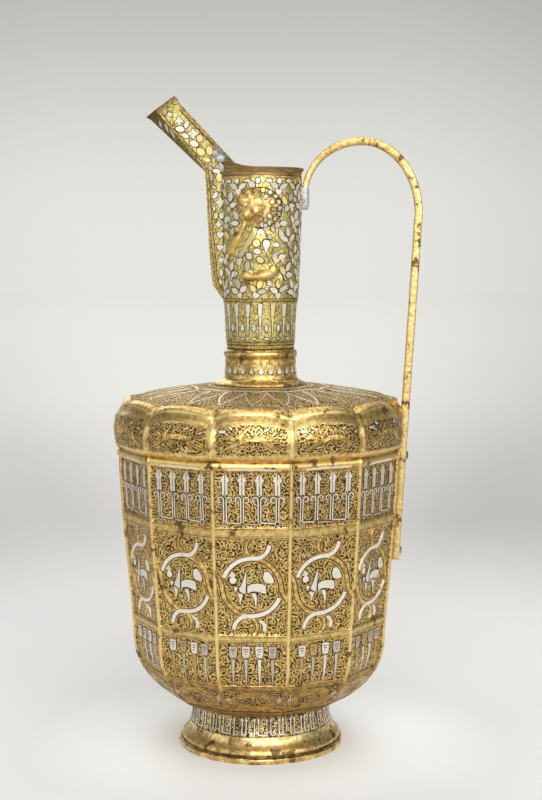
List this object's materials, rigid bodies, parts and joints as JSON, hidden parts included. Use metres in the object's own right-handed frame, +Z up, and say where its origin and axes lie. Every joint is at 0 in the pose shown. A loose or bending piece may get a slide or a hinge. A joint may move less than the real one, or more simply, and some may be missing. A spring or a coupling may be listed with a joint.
{
  "type": "ibrik ewer",
  "caption": "Faceted sheet brass ewer with silver inlay, a lobed shoulder, a tall neck with a slanted pouring spout, a long strap handle and a flared foot.",
  "frame": {"origin": "under the middle of the whole vessel's box, on the surface that it stands on; the body's own axis stands 3.9 mm towards -X of it", "axes": "+Z up, -X towards the spout, +X towards the handle, -Y towards the side seen in the picture"},
  "size_m": [0.1876, 0.1798, 0.3947],
  "materials": {
    "chased_brass": "chased and engraved brass with dark filled grounds, bright on the high frames",
    "polished_brass": "rubbed bright brass with brown patina patches",
    "brown_brass": "dull brown patina",
    "silver_inlay": "worn sheet silver, hammered into the brass",
    "solder": "dull grey solder"
  },
  "bodies": {
    "root": {"foot_rim_ring": "polished_brass", "foot": "polished_brass", "body_shell": "chased_brass", "base_plate": "brown_brass", "shoulder_shell": "chased_brass", "collar": "polished_brass", "neck": "chased_brass", "spout": "chased_brass", "handle_strap": "polished_brass", "handle_waist_rivet": "brown_brass", "handle_tail_rivet": "polished_brass", "handle_lug": "solder", "silver_ribbon_upper_01": "silver_inlay", "silver_ribbon_upper_02": "silver_inlay", "silver_ribbon_upper_03": "silver_inlay", "silver_ribbon_upper_04": "silver_inlay", "silver_ribbon_upper_05": "silver_inlay", "silver_ribbon_upper_06": "silver_inlay", "silver_ribbon_upper_07": "silver_inlay", "silver_ribbon_upper_08": "silver_inlay", "silver_ribbon_upper_09": "silver_inlay", "silver_ribbon_upper_10": "silver_inlay", "silver_ribbon_upper_11": "silver_inlay", "silver_ribbon_upper_12": "silver_inlay", "silver_ribbon_lower_01": "silver_inlay", "silver_ribbon_lower_02": "silver_inlay", "silver_ribbon_lower_03": "silver_inlay", "silver_ribbon_lower_04": "silver_inlay", "silver_ribbon_lower_05": "silver_inlay", "silver_ribbon_lower_06": "silver_inlay", "silver_ribbon_lower_07": "silver_inlay", "silver_ribbon_lower_08": "silver_inlay", "silver_ribbon_lower_09": "silver_inlay", "silver_ribbon_lower_10": "silver_inlay", "silver_ribbon_lower_11": "silver_inlay", "silver_ribbon_lower_12": "silver_inlay"}
  },
  "joints": []
}
